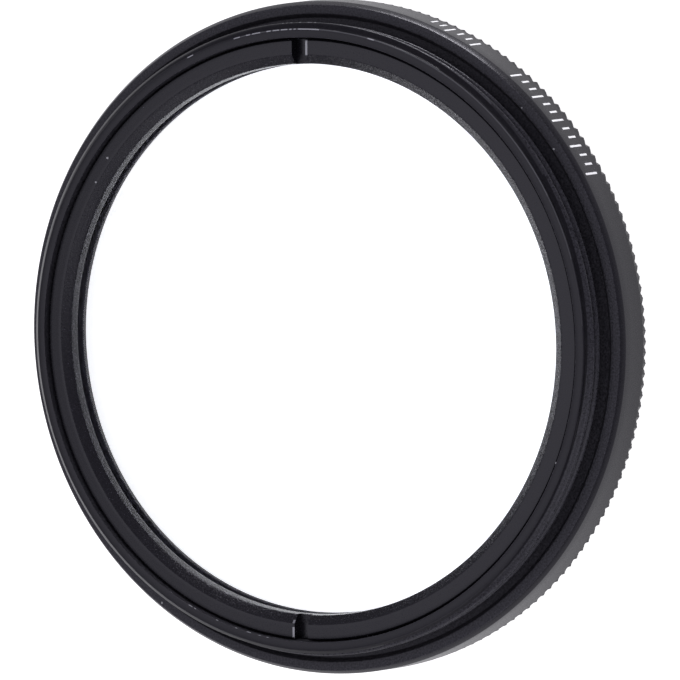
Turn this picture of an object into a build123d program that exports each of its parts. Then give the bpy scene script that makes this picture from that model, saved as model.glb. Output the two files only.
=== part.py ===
from build123d import *
import math
import os

# A screw-in filter for a 37 mm lens thread, in millimetres. The front of the filter, which
# takes the next accessory, stands on z = 0. The side that screws into the lens faces up,
# and the optical axis is the z axis.

# Threads, both M37 x 0.75. They are modelled as plain walls at their true diameters.
thread_diameter = 37.0
front_thread_depth = 0.41
front_thread_length = 1.75
front_lead_in = 0.45
rear_thread_length = 1.10
rear_lead_in = 0.40

# Frame, turned in one piece. Its widths go outwards and inwards from the rear thread's crest.
face_groove_width = 0.53
face_groove_depth = 0.35
face_groove_slant = 0.20
shoulder_width = 0.75
shoulder_chamfer_width = 0.24
shoulder_chamfer_height = 0.34
relief_depth = 0.45
relief_height = 0.22
rear_wall = 0.88
seat_ledge = 0.39
lip_width = 1.03
lip_thickness = 0.56
lip_edge_break = 0.15

# Knurl of sharp V grooves round the front rim, which stands out past the side band
knurl_teeth = 204
knurl_stand = 0.19
knurl_depth = 0.18
knurl_height = 0.70
knurl_chamfer = 0.20

# Glass, a little proud of its seat so that the ring presses on the glass alone
glass_thickness = 1.10
glass_clearance = 0.08
glass_stand = 0.10

# Slotted ring that holds the glass
ring_width = 1.43
ring_height = 1.07
ring_clearance = 0.07
ring_recess = 0.32
ring_edge_chamfer = 0.10
ring_bevel_width = 0.50
ring_bevel_depth = 0.40
slot_width = 0.90
slot_depth = 0.68

# Heights, stacked from the front face
lip_top = front_thread_length + lip_thickness
glass_top = lip_top + glass_thickness
ring_face = glass_top + ring_height
rear_end = ring_face + ring_recess
thread_start = rear_end - rear_lead_in - rear_thread_length
shoulder = thread_start - relief_height
seat_step = glass_top - glass_stand

# Radii, all stacked from the thread
thread_radius = thread_diameter / 2
front_bore_radius = thread_radius - front_thread_depth
relief_radius = thread_radius - relief_depth
groove_radius = thread_radius + face_groove_width
band_radius = groove_radius + shoulder_width
knurl_radius = band_radius + knurl_stand
ring_bore_radius = thread_radius - rear_wall
seat_radius = ring_bore_radius - seat_ledge
clear_radius = seat_radius - lip_width
glass_radius = seat_radius - glass_clearance
ring_radius = ring_bore_radius - ring_clearance


def turned(points):
    """Solid of revolution about z from (radius, height) points."""
    with BuildPart() as part:
        with BuildSketch(Plane.XZ):
            with BuildLine():
                Polyline(*points, close=True)
            make_face()
        revolve(axis=Axis.Z)
    return part.part


def polar(radius, half_steps):
    """Point at a number of half tooth steps round the axis."""
    angle = half_steps * math.pi / knurl_teeth
    return (radius * math.cos(angle), radius * math.sin(angle))


def outlined(points):
    """Flat face inside a closed line of points."""
    with BuildSketch() as sketch:
        with BuildLine():
            Polyline(*points, close=True)
        make_face()
    return sketch.sketch


def knurl(core_radius):
    """Straight V grooves that meet in sharp ridges, with a 45 degree facet at each ridge's front."""
    root_radius = knurl_radius - knurl_depth
    facet_radius = (knurl_radius - knurl_chamfer) / math.cos(math.pi / knurl_teeth)
    star = []
    facets = []
    for tooth in range(knurl_teeth):
        star.append(polar(root_radius, 2 * tooth))
        star.append(polar(knurl_radius, 2 * tooth + 1))
        facets.append(polar(facet_radius, 2 * tooth))
    ridges = extrude(outlined(star) - Circle(core_radius), amount=knurl_height)
    return ridges & extrude(outlined(facets), amount=knurl_height, taper=-45)


def filter_frame():
    """Rim, side band, shoulder, both threads, glass seat and the lip that the glass rests on."""
    groove_floor = shoulder - face_groove_depth
    lead_in_radius = front_bore_radius + front_lead_in
    core_radius = (lead_in_radius + knurl_radius - knurl_depth) / 2
    body = turned(
        [
            (lead_in_radius, 0),
            (core_radius, 0),
            (core_radius, knurl_height),
            (band_radius, knurl_height),
            (band_radius, shoulder - shoulder_chamfer_height),
            (band_radius - shoulder_chamfer_width, shoulder),
            (groove_radius, shoulder),
            (groove_radius - face_groove_slant, groove_floor),
            (relief_radius, groove_floor),
            (relief_radius, thread_start),
            (thread_radius, thread_start),
            (thread_radius, rear_end - rear_lead_in),
            (thread_radius - rear_lead_in, rear_end),
            (ring_bore_radius, rear_end),
            (ring_bore_radius, seat_step),
            (seat_radius, seat_step),
            (seat_radius, lip_top),
            (clear_radius, lip_top),
            (clear_radius, front_thread_length + lip_edge_break),
            (clear_radius + lip_edge_break, front_thread_length),
            (front_bore_radius, front_thread_length),
            (front_bore_radius, front_lead_in),
        ]
    )
    return body + knurl(core_radius)


def filter_glass():
    """Plane-parallel disc."""
    return Pos(0, 0, lip_top) * extrude(Circle(glass_radius), amount=glass_thickness)


def retaining_ring():
    """Ring with a bevelled bore and two slots on one diameter for a pin spanner."""
    bore_radius = ring_radius - ring_width
    ring = turned(
        [
            (bore_radius, glass_top),
            (ring_radius, glass_top),
            (ring_radius, ring_face - ring_edge_chamfer),
            (ring_radius - ring_edge_chamfer, ring_face),
            (bore_radius + ring_bevel_width, ring_face),
            (bore_radius, ring_face - ring_bevel_depth),
        ]
    )
    slots = Pos(0, 0, ring_face) * Box(slot_width, 4 * ring_radius, 2 * slot_depth)
    return ring - slots


os.makedirs("parts", exist_ok=True)
export_step(filter_frame(), "parts/filter_frame.step")
export_step(filter_glass(), "parts/filter_glass.step")
export_step(retaining_ring(), "parts/retaining_ring.step")
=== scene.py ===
from math import radians, pi
import bpy
import numpy as np
from mathutils import Euler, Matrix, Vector


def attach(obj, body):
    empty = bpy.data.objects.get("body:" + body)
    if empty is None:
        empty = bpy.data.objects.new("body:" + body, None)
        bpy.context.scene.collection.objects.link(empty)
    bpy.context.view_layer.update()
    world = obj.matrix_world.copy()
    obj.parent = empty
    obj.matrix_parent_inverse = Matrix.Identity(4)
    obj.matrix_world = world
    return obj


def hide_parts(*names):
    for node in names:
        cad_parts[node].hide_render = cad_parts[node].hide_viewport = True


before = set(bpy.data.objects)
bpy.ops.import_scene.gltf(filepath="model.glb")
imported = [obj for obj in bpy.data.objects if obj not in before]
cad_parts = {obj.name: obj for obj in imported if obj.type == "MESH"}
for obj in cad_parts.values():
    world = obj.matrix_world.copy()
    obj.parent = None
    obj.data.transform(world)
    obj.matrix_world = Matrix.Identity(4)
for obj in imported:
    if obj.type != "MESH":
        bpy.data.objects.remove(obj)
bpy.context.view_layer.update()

# A 37 mm screw-in filter lying on its front rim, lens side up. Sizes below are in
# millimetres, as in the solids, and the meshes are written in metres.
mm = 0.001


# sRGB hex to linear: c / 12.92 up to 0.04045, above it ((c + 0.055) / 1.055) to the power 2.4
def linear(hexColour):
    srgb = np.array([int(hexColour[i:i + 2], 16) for i in (1, 3, 5)]) / 255
    rgb = np.where(srgb <= 0.04045, srgb / 12.92, ((srgb + 0.055) / 1.055) ** 2.4)
    return (*(float(c) for c in rgb), 1.0)


# Adds one node: settings are its properties, inputs map a socket to a value or to an output
def addNode(tree, kind, settings=None, inputs=None):
    node = tree.nodes.new(kind)
    for key, value in (settings or {}).items():
        setattr(node, key, value)
    for key, value in (inputs or {}).items():
        if isinstance(value, bpy.types.NodeSocket):
            tree.links.new(value, node.inputs[key])
        else:
            node.inputs[key].default_value = value
    return node


def newMaterial(name):
    material = bpy.data.materials.new(name)
    material.use_nodes = True
    tree = material.node_tree
    tree.nodes.clear()
    return material, tree


# A finish that is the same all over
def evenMaterial(name, inputs):
    material, tree = newMaterial(name)
    shader = addNode(tree, "ShaderNodeBsdfPrincipled", inputs=inputs)
    addNode(tree, "ShaderNodeOutputMaterial", inputs={"Surface": shader.outputs[0]})
    return material


def newPiece(name, mesh):
    piece = bpy.data.objects.new(name, mesh)
    bpy.context.collection.objects.link(piece)
    return piece


# Piece from corners in millimetres and the corner numbers of each face
def facetedPiece(name, corners, faces, material):
    mesh = bpy.data.meshes.new(name)
    mesh.from_pydata([tuple(c * mm for c in corner) for corner in corners], [], faces)
    mesh.materials.append(material)
    return newPiece(name, mesh)


# Profile corners (r, z, edge, rows): each corner becomes a quadratic curve of a few points
# that starts and ends the edge distance away along its two sides, but takes up no more than
# the largest share of either side. The side after the corner is cut into rows.
def softProfile(corners, curveSteps=3, largestShare=0.45):
    points = np.array([c[:2] for c in corners], float)
    ahead = np.roll(points, -1, axis=0) - points
    length = np.linalg.norm(ahead, axis=1)
    ahead /= length[:, None]
    shorter = np.minimum(length, np.roll(length, 1))
    edge = np.minimum([c[2] for c in corners], largestShare * shorter)
    start = points - edge[:, None] * np.roll(ahead, 1, axis=0)
    end = points + edge[:, None] * ahead
    profile, corner = [], []
    for k, c in enumerate(corners):
        s = np.linspace(0, 1, curveSteps)[:, None] if edge[k] > 0 else np.zeros((1, 1))
        profile.append((1 - s) ** 2 * start[k] + 2 * s * (1 - s) * points[k] + s ** 2 * end[k])
        between = np.linspace(0, 1, c[3] + 1)[1:-1, None]
        profile.append(end[k] + between * (start[(k + 1) % len(corners)] - end[k]))
        corner += [k] * (len(s) + len(between))
    return np.vstack(profile), np.array(corner)


# Closed surface: points[i, j] goes round the axis with i and round the profile with j, and
# each quad joins (i, j), (i + 1, j), (i + 1, j + 1) and (i, j + 1), counted round both ways.
# Edges sharper than the sharp angle stay sharp, and wear with painted highlight is a number for
# each quad.
def closedSurface(name, points, rowMaterial, materials, wearAndHighlight, sharpAngle=35):
    turns, rows = points.shape[:2]
    print(name, 2 * turns * rows, "triangles")
    i, j = np.meshgrid(np.arange(turns), np.arange(rows), indexing="ij")
    nextI, nextJ = (i + 1) % turns, (j + 1) % rows
    quads = np.stack(
        [i * rows + j, nextI * rows + j, nextI * rows + nextJ, i * rows + nextJ], axis=-1)
    quads = quads.reshape(-1, 4)
    corners = points.reshape(-1, 3)[quads]
    normal = np.cross(corners[:, 2] - corners[:, 0], corners[:, 3] - corners[:, 1])
    if np.sum(normal * corners.mean(axis=1)) < 0:
        quads = quads[:, ::-1]
    mesh = bpy.data.meshes.new(name)
    mesh.vertices.add(turns * rows)
    mesh.vertices.foreach_set("co", (points * mm).astype(np.float32).ravel())
    mesh.loops.add(quads.size)
    mesh.loops.foreach_set("vertex_index", quads.astype(np.int32).ravel())
    mesh.polygons.add(len(quads))
    mesh.polygons.foreach_set("loop_start", np.arange(0, quads.size, 4, dtype=np.int32))
    mesh.polygons.foreach_set("material_index", np.tile(rowMaterial, turns).astype(np.int32))
    mesh.update(calc_edges=True)
    wearAndHighlightFaces = mesh.attributes.new("wearAndHighlight", "FLOAT", "FACE")
    wearAndHighlightFaces.data.foreach_set("value", wearAndHighlight.astype(np.float32).ravel())
    mesh.validate()
    for material in materials:
        mesh.materials.append(material)
    mesh.shade_smooth()
    mesh.set_sharp_from_angle(angle=radians(sharpAngle))
    piece = newPiece(name, mesh)
    weighted = piece.modifiers.new("flat faces stay flat", "WEIGHTED_NORMAL")
    weighted.keep_sharp = True
    return piece


print("materials")

# Black anodised aluminium: a dyed oxide skin over turned metal. The dye takes nearly all the
# light, so what shows is the skin's faint gloss, broken up by lathe lines and fine grit.
anodisedLook = dict(
    dark="#08070a",
    light="#121116",
    bareAndHighlight="#b9b9c0",             # aluminium where the skin is worn off, also used as a painted highlight along the frame's edges
    bareRoughness=0.45,
    sheen=0.30,                 # share of the usual gloss, because the dye fills the skin
    tint="#f3f1ff",             # the dye leaves the gloss faintly blue
    ior=1.5,
    lathePitch=0.045,           # tool feed lines, a little coarser than real ones so they show
    gritSize=0.11,
    colourSpan=(0.35, 0.65),    # span of the grit noise from the dark to the light colour
    roughSpan=(0.3, 0.7),       # and from the smoothest to the roughest place
)


# Lathe lines are noise over (distance from the axis, height), so they run round the axis on
# every wall, and grit is noise over the place itself
def anodised(name, roughness, spread, lathe, grit, look):
    material, tree = newMaterial(name)
    place = addNode(tree, "ShaderNodeTexCoord").outputs["Object"]
    split = addNode(tree, "ShaderNodeSeparateXYZ", inputs={0: place})
    flat = addNode(tree, "ShaderNodeCombineXYZ", inputs={0: split.outputs[0], 1: split.outputs[1]})
    radius = addNode(tree, "ShaderNodeVectorMath", {"operation": "LENGTH"}, {0: flat.outputs[0]})
    across = addNode(tree, "ShaderNodeCombineXYZ", inputs={
        0: radius.outputs["Value"], 1: split.outputs[2]})
    lines = addNode(tree, "ShaderNodeTexNoise", {"noise_dimensions": "2D"}, {
        "Vector": across.outputs[0], "Scale": 1 / (look["lathePitch"] * mm), "Detail": 2.0})
    specks = addNode(tree, "ShaderNodeTexNoise", {"noise_dimensions": "3D"}, {
        "Vector": place, "Scale": 1 / (look["gritSize"] * mm), "Detail": 3.0, "Roughness": 0.6})
    grain = addNode(tree, "ShaderNodeMapRange", inputs={
        "Value": specks.outputs["Fac"],
        "From Min": look["colourSpan"][0], "From Max": look["colourSpan"][1]})
    colour = addNode(tree, "ShaderNodeMix", {"data_type": "RGBA"}, {
        "Factor": grain.outputs[0], 6: linear(look["dark"]), 7: linear(look["light"])})
    rough = addNode(tree, "ShaderNodeMapRange", inputs={
        "Value": specks.outputs["Fac"],
        "From Min": look["roughSpan"][0], "From Max": look["roughSpan"][1],
        "To Min": roughness - spread, "To Max": roughness + spread})
    bumpLines = addNode(tree, "ShaderNodeBump", inputs={
        "Strength": 1.0, "Distance": lathe * mm, "Height": lines.outputs["Fac"]})
    bumpGrit = addNode(tree, "ShaderNodeBump", inputs={
        "Strength": 1.0, "Distance": grit * mm, "Height": specks.outputs["Fac"],
        "Normal": bumpLines.outputs[0]})
    skin = addNode(tree, "ShaderNodeBsdfPrincipled", inputs={
        "Base Color": colour.outputs[2], "Roughness": rough.outputs[0], "IOR": look["ior"],
        "Specular IOR Level": look["sheen"], "Specular Tint": linear(look["tint"]),
        "Normal": bumpGrit.outputs[0]})
    bareAndHighlight = addNode(tree, "ShaderNodeBsdfPrincipled", inputs={
        "Base Color": linear(look["bareAndHighlight"]), "Roughness": look["bareRoughness"], "Metallic": 1.0})
    # The attribute mixes in bare aluminium: real wear, and along the frame's edges also a painted
    # highlight
    wearAndHighlight = addNode(tree, "ShaderNodeAttribute", {"attribute_name": "wearAndHighlight"})
    wornAndHighlit = addNode(tree, "ShaderNodeMixShader", inputs={
        0: wearAndHighlight.outputs["Fac"], 1: skin.outputs[0], 2: bareAndHighlight.outputs[0]})
    addNode(tree, "ShaderNodeOutputMaterial", inputs={"Surface": wornAndHighlit.outputs[0]})
    return material


# Etched before it was dyed, so greyer and grainier
mattLook = dict(anodisedLook, dark="#0c0b0e", light="#323137")
# Groove, slant and bore: dull walls, and their grey, lighter than the black skin, is painted light
# standing in for the light that gets into these recesses
paintedLightGrooveLook = dict(anodisedLook, dark="#161519", light="#333237")
# Blackened against stray light, so almost without gloss; its dark grey, lighter than the black
# skin, is painted light in the shaded lip
paintedLightLipLook = dict(anodisedLook, dark="#2a292f", light="#36353b", sheen=0.08)
# A skin with a little less gloss than the faces beside it
leadLook = dict(anodisedLook, sheen=0.18)

# Finishes: (roughness, its spread, height of the lathe lines, height of the grit, look)
finishes = {
    "turned": (0.34, 0.05, 0.0012, 0.0006, anodisedLook),       # even satin, fine lathe lines
    "matt": (0.45, 0.10, 0.001, 0.030, mattLook),               # grey grain all over
    "groove": (0.45, 0.10, 0.001, 0.020, paintedLightGrooveLook),            # dull, its lighter grey is painted light so it shows in the shade
    "lip": (0.60, 0.05, 0.001, 0.010, paintedLightLipLook),                 # flat dark grey, painted light in the shade
    "side band": (0.28, 0.05, 0.0012, 0.002, anodisedLook),     # smooth, takes long highlights
    "thread": (0.30, 0.05, 0.0015, 0.006, mattLook),            # grey, with bright crests
    "lead-in": (0.32, 0.05, 0.0012, 0.006, leadLook),           # darker band above the thread
    "ring": (0.25, 0.05, 0.001, 0.0006, anodisedLook),          # clean satin
    "bevel": (0.28, 0.10, 0.001, 0.024, anodisedLook),          # sparkles a little
}
anodisedFinish = {
    name: anodised("black anodised aluminium, " + name, *values)
    for name, values in finishes.items()
}

# Polished optical glass with a clear coating: colourless, it shows only what is behind it
# and a faint gloss
glassLook = dict(colour="#fbfdff", roughness=0.0, ior=1.5)
clearGlass = evenMaterial("polished optical glass", {
    "Base Color": linear(glassLook["colour"]), "Roughness": glassLook["roughness"],
    "IOR": glassLook["ior"], "Transmission Weight": 1.0})

# Thread form, with the flat crest and the flank in parts of the pitch
threadForm = dict(pitch=0.75, crest=0.125, flank=0.3125, easing=0.11)


# Depth below a 60 degree thread's crest, in parts of the full depth: the distance along the
# axis from the nearest crest goes through the flat, then down the flank, eased at both ends.
# The shift is the height of a crest on the +X side.
def threadDepth(theta, z, shift, form=threadForm):
    turn = (z - shift) / form["pitch"] - theta / (2 * pi)
    away = np.abs(turn - np.round(turn))
    t = np.clip((away - form["crest"] / 2) / form["flank"], 0, 1)
    return t - form["easing"] * np.sin(2 * pi * t)


print("filter frame")
rng = np.random.default_rng(7)

frameLook = dict(
    columns=816,                # four to each knurl tooth
    edge=0.035, fineEdge=0.02,  # broken edges of the turned faces, the finer ones inside
    maleRadius=18.5, maleDepth=0.406, maleShift=3.42,
    femaleRadius=18.09, femaleDepth=0.41, femaleShift=0.2,
    femaleEnd=1.75, runOut=0.30,    # the female thread gets shallower over the run-out
    bandFoot=(19.965, 0.70), bandTop=(19.78, 2.74),
    knurlTeeth=204, knurlRadius=19.965, knurlDepth=0.22,
    wornAndHighlitWidth=0.04,             # profile points this near to a marked edge belong to it
    # edges with wear and painted highlight: (edge's radius and height, from and to in degrees from
    # +X, share marked, how far); the even runs fading with the angle are a painted highlight line,
    # the patchy runs and the short strong runs are worn chips
    wornAndHighlit=[
        (18.10, 4.80, 28, 103, 1.0, 0.16),
        (18.10, 4.80, 16, 28, 1.0, 0.10),
        (18.10, 4.80, 4, 16, 1.0, 0.04),
        (18.10, 4.80, 85, 103, 0.55, 0.8),
        (18.10, 4.80, 73.6, 74.6, 1.0, 0.8),
        (18.10, 4.80, 112.4, 113.8, 1.0, 0.8),
        (18.50, 4.40, 48, 112, 1.0, 0.10),
        (18.50, 4.40, 32, 48, 1.0, 0.04),
        (18.50, 4.40, 85, 95, 0.4, 0.5),
        (17.62, 4.80, 244, 263, 0.3, 0.5),
    ],
    finish={
        "face": "turned", "flange": "matt", "male": "thread", "female": "thread",
        "knurl": "side band", "band": "side band", "chamfer": "side band",
        "groove": "groove", "slant": "groove", "bore": "groove",
        "lip": "lip", "lead": "lead-in",
    },
)


def filterFrame(look=frameLook):
    e, fine = look["edge"], look["fineEdge"]
    # (r, z, edge, rows after it, zone)
    corners = [
        (18.54, 0.00, e, 1, "face"),
        (19.77, 0.00, 0, 3, "knurl"),
        (20.00, 0.23, 0, 2, "knurl"),
        (20.00, 0.70, 0, 1, "knurl"),
        (*look["bandFoot"], 0, 3, "band"),
        (*look["bandTop"], e, 2, "chamfer"),
        (19.54, 3.08, e, 2, "flange"),
        (19.03, 3.08, e, 2, "slant"),
        (18.83, 2.73, e, 1, "groove"),
        (18.05, 2.73, e, 1, "groove"),
        (18.05, 3.30, 0, 1, "groove"),
        (18.50, 3.30, 0, 28, "male"),
        (18.50, 4.40, fine, 8, "lead"),
        (18.10, 4.80, e, 1, "face"),
        (17.62, 4.80, e, 2, "bore"),
        (17.62, 3.31, fine, 1, "face"),
        (17.23, 3.31, fine, 1, "face"),
        (17.23, 2.305, fine, 1, "lip"),
        (16.20, 2.305, fine, 2, "lip"),
        (16.20, 1.90, fine, 1, "lip"),
        (16.35, 1.75, fine, 1, "lip"),
        (look["femaleRadius"], look["femaleEnd"], 0, 20, "female"),
        (look["femaleRadius"], 0.45, 0, 5, "female"),
    ]
    profile, corner = softProfile(corners)
    zone = np.array([c[4] for c in corners])[corner]
    theta = np.linspace(0, 2 * pi, look["columns"], endpoint=False)[:, None]
    r = np.repeat(profile[None, :, 0], look["columns"], axis=0)
    z = np.repeat(profile[None, :, 1], look["columns"], axis=0)
    # Knurl: V grooves between sharp ridges, the depth going to and fro evenly with the angle
    saw = np.abs(2 * np.mod(theta * look["knurlTeeth"] / (2 * pi), 1) - 1)
    star = look["knurlRadius"] - look["knurlDepth"] * saw
    r = np.where(zone == "knurl", np.minimum(r, star), r)
    # Male thread: the crest radius less the depth, never outside the lead-in
    male = look["maleRadius"] - look["maleDepth"] * threadDepth(theta, z, look["maleShift"])
    r = np.where((zone == "male") | (zone == "lead"), np.minimum(r, male), r)
    # Female thread: the bore plus the depth, shallower over the run-out next to the lip
    fade = np.clip((look["femaleEnd"] - z) / look["runOut"], 0, 1)
    height = 1 - threadDepth(theta, z, look["femaleShift"])
    female = look["femaleRadius"] + fade * look["femaleDepth"] * height
    r = np.where(zone == "female", np.maximum(r, female), r)
    points = np.stack([r * np.cos(theta), r * np.sin(theta), z], axis=-1)
    # Wear and painted highlight mark the faces between the profile points near a marked edge
    wearAndHighlight = np.zeros(r.shape)
    degrees = np.degrees(theta)
    for edgeRadius, edgeHeight, start, end, share, amount in look["wornAndHighlit"]:
        away = np.hypot(profile[:, 0] - edgeRadius, profile[:, 1] - edgeHeight)
        near = away < look["wornAndHighlitWidth"]
        near = near & np.roll(near, -1)
        inside = (degrees > start) & (degrees < end) & (rng.random(theta.shape) < share)
        wearAndHighlight = np.maximum(wearAndHighlight, amount * near[None, :] * inside)
    names = list(dict.fromkeys(look["finish"].values()))
    rowMaterial = np.array([names.index(look["finish"][name]) for name in zone])
    materials = [anodisedFinish[name] for name in names]
    return closedSurface("filterFrame", points, rowMaterial, materials, wearAndHighlight)


frameBody = filterFrame()
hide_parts("filter_frame")
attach(frameBody, "root")

print("retaining ring")

ringLook = dict(
    columns=720,
    edge=0.03, fineEdge=0.02,
    slotHalf=0.45, slotFloor=3.80,
    straightTo=0.75, roundFrom=3.0,     # distances from the slots' middle, see below
    spacingRadius=16.8,                 # radius on which the columns are spaced
    wallSide=0.002,                     # a slot wall's two columns stand this far to its sides
    wallRoom=0.004,                     # and no other column within this angle of them
    # faces beside a slot are worn up to this distance, and never the wide faces further out
    wornReach=0.10, wornLimit=1.0, wornAbove=4.3, wornShare=0.7, wornAmount=0.5,
)


def retainingRing(look=ringLook):
    e, fine = look["edge"], look["fineEdge"]
    # (r, z, edge, rows after it, finish)
    corners = [
        (16.12, 3.415, fine, 4, "ring"),
        (17.55, 3.415, fine, 2, "ring"),
        (17.55, 4.38, fine, 1, "ring"),
        (17.45, 4.48, fine, 4, "ring"),
        (16.62, 4.48, e, 3, "bevel"),
        (16.12, 4.08, e, 4, "ring"),
    ]
    profile, corner = softProfile(corners)
    zone = np.array([c[4] for c in corners])[corner]
    middle = look["spacingRadius"]
    # Columns stand close on both sides of each slot wall
    theta = np.linspace(0, 2 * pi, look["columns"], endpoint=False)
    wall = np.arccos(np.array([1, -1]) * look["slotHalf"] / middle)
    tight = look["wallSide"] / middle
    walls = np.concatenate(
        [wall - tight, wall + tight, 2 * pi - wall - tight, 2 * pi - wall + tight])
    room = np.min(np.abs(theta[:, None] - walls[None, :]), axis=1)
    theta = theta[room > look["wallRoom"]]
    theta = np.sort(np.concatenate([theta, walls]))[:, None]
    r = np.repeat(profile[None, :, 0], len(theta), axis=0)
    z = np.repeat(profile[None, :, 1], len(theta), axis=0)
    # Near a slot a column keeps its x at every radius, further away it is radial, and the
    # share s between them goes as 3 s^2 - 2 s^3
    x0 = middle * np.cos(theta)
    s = (np.abs(x0) - look["straightTo"]) / (look["roundFrom"] - look["straightTo"])
    s = np.clip(s, 0, 1)
    s = s * s * (3 - 2 * s)
    x = x0 * (1 - s) + r * np.cos(theta) * s
    y = np.sign(np.sin(theta)) * np.sqrt(np.maximum(r * r - x * x, 0))
    z = np.where(np.abs(x0) < look["slotHalf"], np.minimum(z, look["slotFloor"]), z)
    points = np.stack([x, y, z], axis=-1)
    # A pin spanner has worn the right edge of the slot at +Y and the left edge of the other
    outward = np.sign(y) * x0 - look["slotHalf"]
    after = np.roll(outward, -1, axis=0)
    near, far = np.minimum(outward, after), np.maximum(outward, after)
    beside = (near > 0) & (near < look["wornReach"]) & (far < look["wornLimit"])
    chipped = rng.random(z.shape) < look["wornShare"]
    wearAndHighlight = look["wornAmount"] * (beside & (z > look["wornAbove"]) & chipped)
    names = ["ring", "bevel"]
    rowMaterial = np.array([names.index(name) for name in zone])
    materials = [anodisedFinish[name] for name in names]
    return closedSurface("retainingRing", points, rowMaterial, materials, wearAndHighlight)


ring = retainingRing()
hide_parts("retaining_ring")
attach(ring, "root")

print("printed ticks")

# Plain ticks on the side band, every third one long: runs go from and to, in degrees from +X
tickLook = dict(
    runs=[(59.5, 70.0), (29.5, 51.5)],
    spacing=1.75, every=3,
    low=1.20, high=2.50, shortHigh=2.00,
    width=0.13, middleRadius=19.87,
    thickness=0.006,
    colour="#f6f6f8",
)

# Screen-print ink: flat white, slightly glossy, as thin as paint
whiteInk = evenMaterial("white screen-print ink", {
    "Base Color": linear(tickLook["colour"]), "Roughness": 0.5})

# Faces of a box whose corners count up along its width, then its height, then its depth
boxFaces = [(0, 2, 3, 1), (4, 5, 7, 6), (0, 1, 5, 4), (2, 6, 7, 3), (0, 4, 6, 2), (1, 3, 7, 5)]


def printedTicks(look=tickLook, band=frameLook):
    (footRadius, footHeight), (topRadius, topHeight) = band["bandFoot"], band["bandTop"]
    bandSlope = (topRadius - footRadius) / (topHeight - footHeight)
    half = look["width"] / 2 / look["middleRadius"]
    corners, faces = [], []
    for start, end in look["runs"]:
        for k, angle in enumerate(np.radians(np.arange(start, end, look["spacing"]))):
            top = look["high"] if k % look["every"] == 0 else look["shortHigh"]
            first = len(corners)
            for lift in (-look["thickness"], look["thickness"]):
                for z in (look["low"], top):
                    r = footRadius + bandSlope * (z - footHeight) + lift
                    corners += [(r * np.cos(angle + side), r * np.sin(angle + side), z)
                                for side in (-half, half)]
            faces += [tuple(first + n for n in face) for face in boxFaces]
    return facetedPiece("printedTicks", corners, faces, whiteInk)


ticks = printedTicks()
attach(ticks, "root")

print("dust")

# The clearest specks: (radius, height of the face, degrees from +X, width)
dustLook = dict(
    specks=[
        (16.93, 4.48, 141.0, 0.15),
        (16.75, 4.48, 146.7, 0.12),
        (17.49, 4.46, 338.8, 0.13),
        (19.35, 3.08, 237.4, 0.13),
        (19.27, 3.08, 186.1, 0.12),
        (19.25, 3.08, 188.4, 0.10),
        (19.12, 3.08, 44.8, 0.08),
        (19.12, 3.08, 35.7, 0.11),
    ],
    corners=7, uneven=0.25, turnOver=2.3,
    above=0.015, below=0.010,
    colour="#9c9ca0",
)

# Lint and dust: pale grey and quite matt, so it stands out on the black
greyDust = evenMaterial("pale grey dust", {
    "Base Color": linear(dustLook["colour"]), "Roughness": 0.9, "Specular IOR Level": 0.1})


# Corner k of a flake lies at half the flake's width from its middle, times 1 plus the
# uneven share of sin(turnOver k + the flake's number)
def dustSpecks(look=dustLook):
    corners, faces = [], []
    count = look["corners"]
    for number, (radius, height, angle, width) in enumerate(look["specks"]):
        middle = (radius * np.cos(radians(angle)), radius * np.sin(radians(angle)))
        first = len(corners)
        for z in (height - look["below"], height + look["above"]):
            for k in range(count):
                reach = width / 2 * (1 + look["uneven"] * np.sin(look["turnOver"] * k + number))
                turn = 2 * pi * k / count
                x, y = middle[0] + reach * np.cos(turn), middle[1] + reach * np.sin(turn)
                corners.append((x, y, z))
        faces.append(tuple(first + k for k in reversed(range(count))))
        faces.append(tuple(first + count + k for k in range(count)))
        for k in range(count):
            after = (k + 1) % count
            faces.append((first + k, first + after, first + count + after, first + count + k))
    return facetedPiece("dustSpecks", corners, faces, greyDust)


dust = dustSpecks()
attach(dust, "root")

print("glass")
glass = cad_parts["filter_glass"]
for slotOfGlass in glass.material_slots:
    slotOfGlass.material = clearGlass

print("floor, lights and camera")

studio = dict(
    # the surroundings are faintly blue, and clip to white where the camera sees them
    glow="#f4f2ff", worldStrength=0.50, worldSeen=1.2,
    # the floor glows too: floorLift where the camera sees it, floorGloss everywhere else
    floorHalf=1500, floorColour="#f2f2f2", floorGlow="#fffefe", floorLift=0.85, floorGloss=0.36,
    lens=158.82, sensorWidth=36, nearClip=10,
    cameraPlace=(84.588, 12.168, 156.937),
    cameraTurn=(-4.0929, 28.2382, -0.2591),
    lampDistance=500,
    # name: (direction from the filter, width, height, brightness against white)
    lamps={
        "softbox over the left": ((-0.30, 0.00, 0.95), 320, 320, 1.25),
        "softbox at the side": ((0.00, -0.91, 0.42), 300, 180, 1.9),
        "card at the right": ((0.45, -0.45, 0.77), 300, 240, 1.5),
        "long card low on the left": ((-0.94, -0.34, 0.05), 440, 60, 10.5),
        "strip at the far side": ((0.00, 0.998, 0.05), 240, 50, 38.0),
    },
)


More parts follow.
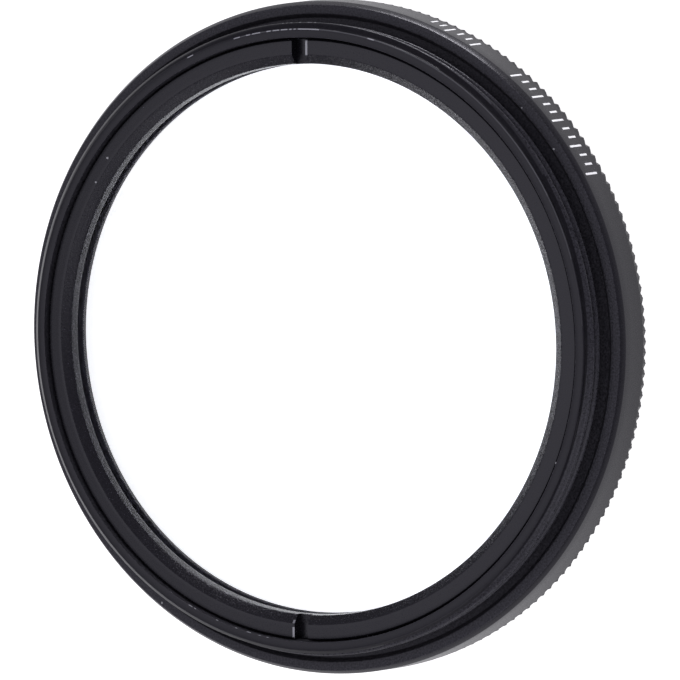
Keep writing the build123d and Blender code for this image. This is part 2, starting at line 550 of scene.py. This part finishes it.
# One level for what the camera sees, straight or through glass, and one for all other rays
def levels(tree, unseen, seen):
    path = addNode(tree, "ShaderNodeLightPath")
    direct = addNode(tree, "ShaderNodeMath", {"operation": "MAXIMUM"}, {
        0: path.outputs["Is Camera Ray"], 1: path.outputs["Is Transmission Ray"]})
    level = addNode(tree, "ShaderNodeMix", {"data_type": "FLOAT"}, {
        "Factor": direct.outputs[0], 2: unseen, 3: seen})
    return level.outputs[0]


world = bpy.data.worlds.new("studio")
world.use_nodes = True
world.node_tree.nodes.clear()
back = addNode(world.node_tree, "ShaderNodeBackground", inputs={
    "Color": linear(studio["glow"]),
    "Strength": levels(world.node_tree, studio["worldStrength"], studio["worldSeen"])})
addNode(world.node_tree, "ShaderNodeOutputWorld", inputs={"Surface": back.outputs[0]})
bpy.context.scene.world = world

# White paper sweep: quite matt, so it shows only the shadow
paper, tree = newMaterial("white paper sweep")
sheet = addNode(tree, "ShaderNodeBsdfPrincipled", inputs={
    "Base Color": linear(studio["floorColour"]), "Roughness": 0.9, "Specular IOR Level": 0.0,
    "Emission Color": linear(studio["floorGlow"]),
    "Emission Strength": levels(tree, studio["floorGloss"], studio["floorLift"])})
addNode(tree, "ShaderNodeOutputMaterial", inputs={"Surface": sheet.outputs[0]})
half = studio["floorHalf"]
floor = facetedPiece(
    "floor", [(-half, -half, 0), (half, -half, 0), (half, half, 0), (-half, half, 0)],
    [(0, 1, 2, 3)], paper)

# A lamp's power is its brightness times pi times its area
for name, (direction, width, height, brightness) in studio["lamps"].items():
    lamp = bpy.data.lights.new(name, "AREA")
    lamp.shape = "RECTANGLE"
    lamp.size, lamp.size_y = width * mm, height * mm
    lamp.energy = brightness * pi * lamp.size * lamp.size_y
    holder = newPiece(name, lamp)
    holder.location = Vector(direction).normalized() * studio["lampDistance"] * mm
    holder.rotation_euler = (-holder.location).to_track_quat("-Z", "Y").to_euler()

cameraData = bpy.data.cameras.new("camera")
cameraData.sensor_width = studio["sensorWidth"]
cameraData.lens = studio["lens"]
cameraData.clip_start = studio["nearClip"] * mm
camera = newPiece("camera", cameraData)
camera.location = [c * mm for c in studio["cameraPlace"]]
camera.rotation_euler = Euler([radians(a) for a in studio["cameraTurn"]])
bpy.context.scene.camera = camera
bpy.context.scene.view_settings.view_transform = "Standard"
